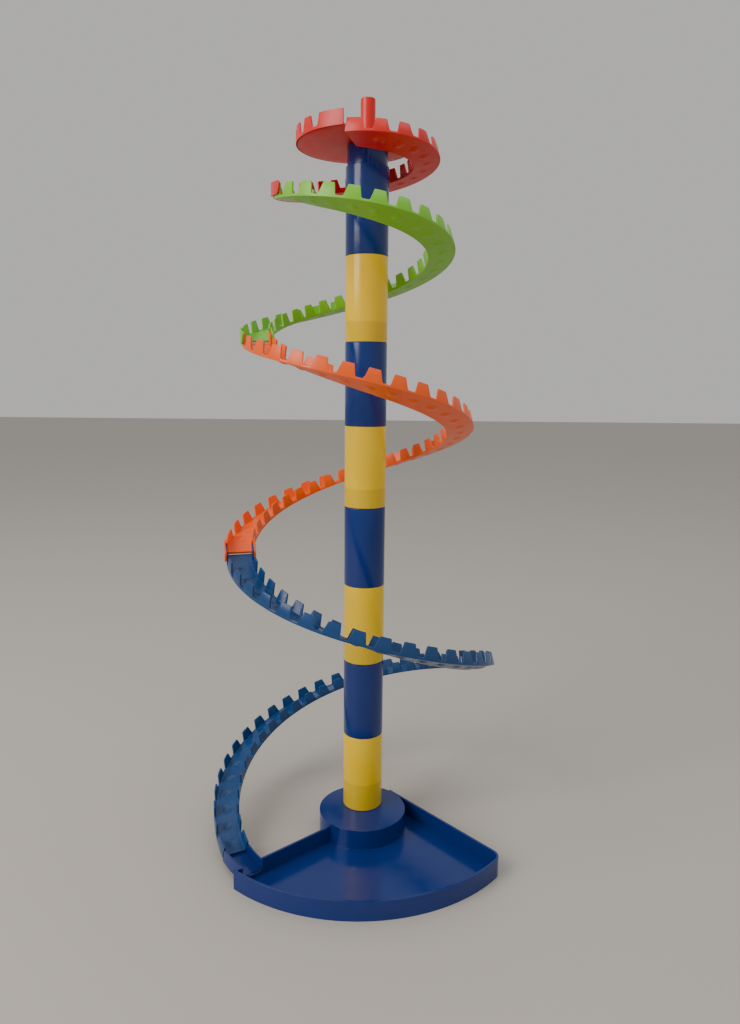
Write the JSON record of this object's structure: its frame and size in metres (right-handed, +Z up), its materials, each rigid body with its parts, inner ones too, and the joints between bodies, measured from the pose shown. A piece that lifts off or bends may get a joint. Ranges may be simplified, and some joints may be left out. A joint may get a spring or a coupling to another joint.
{
  "type": "marble run",
  "caption": "Tall marble run: a spiral of castellated channels hangs around a push-fit column, from a start disc down to a sector-shaped collecting tray.",
  "frame": {"origin": "on the column's axis, in the plane of the tray's underside", "axes": "+Z up along the column, -Y towards the front of the tray, +X to the right seen from the front"},
  "size_m": [0.2809, 0.288, 0.7083],
  "materials": {
    "blue_plastic": "glossy injection-moulded plastic, royal blue",
    "yellow_plastic": "glossy injection-moulded plastic, slightly translucent yellow",
    "red_plastic": "satin injection-moulded plastic, red",
    "green_plastic": "satin injection-moulded plastic, lime green",
    "orange_plastic": "satin injection-moulded plastic, orange",
    "blue_track_plastic": "satin injection-moulded plastic, mid blue"
  },
  "bodies": {
    "stand": {"base_tray": "blue_plastic", "start_disc": "red_plastic", "red_track": "red_plastic", "green_track": "green_plastic", "orange_track": "orange_plastic", "blue_track": "blue_track_plastic"},
    "tube_1_body": {"tube_1": "yellow_plastic"},
    "tube_2_body": {"tube_2": "blue_plastic"},
    "tube_3_body": {"tube_3": "yellow_plastic"},
    "tube_4_body": {"tube_4": "blue_plastic"},
    "tube_5_body": {"tube_5": "yellow_plastic"},
    "tube_6_body": {"tube_6": "blue_plastic"},
    "tube_7_body": {"tube_7": "yellow_plastic"},
    "tube_8_body": {"tube_8": "blue_plastic"}
  },
  "joints": [
    {"name": "tube_1_turn", "type": "hinge", "parent": "stand", "child": "tube_1_body", "pos_m": [0, 0, 0.0223], "axis": [0, 0, 1], "continuous": true},
    {"name": "tube_2_turn", "type": "hinge", "parent": "stand", "child": "tube_2_body", "pos_m": [0, 0, 0.1007], "axis": [0, 0, 1], "continuous": true},
    {"name": "tube_3_turn", "type": "hinge", "parent": "stand", "child": "tube_3_body", "pos_m": [0, 0, 0.1791], "axis": [0, 0, 1], "continuous": true},
    {"name": "tube_4_turn", "type": "hinge", "parent": "stand", "child": "tube_4_body", "pos_m": [0, 0, 0.2575], "axis": [0, 0, 1], "continuous": true},
    {"name": "tube_5_turn", "type": "hinge", "parent": "stand", "child": "tube_5_body", "pos_m": [0, 0, 0.3359], "axis": [0, 0, 1], "continuous": true},
    {"name": "tube_6_turn", "type": "hinge", "parent": "stand", "child": "tube_6_body", "pos_m": [0, 0, 0.4143], "axis": [0, 0, 1], "continuous": true},
    {"name": "tube_7_turn", "type": "hinge", "parent": "stand", "child": "tube_7_body", "pos_m": [0, 0, 0.4927], "axis": [0, 0, 1], "continuous": true},
    {"name": "tube_8_turn", "type": "hinge", "parent": "stand", "child": "tube_8_body", "pos_m": [0, 0, 0.5711], "axis": [0, 0, 1], "continuous": true}
  ]
}
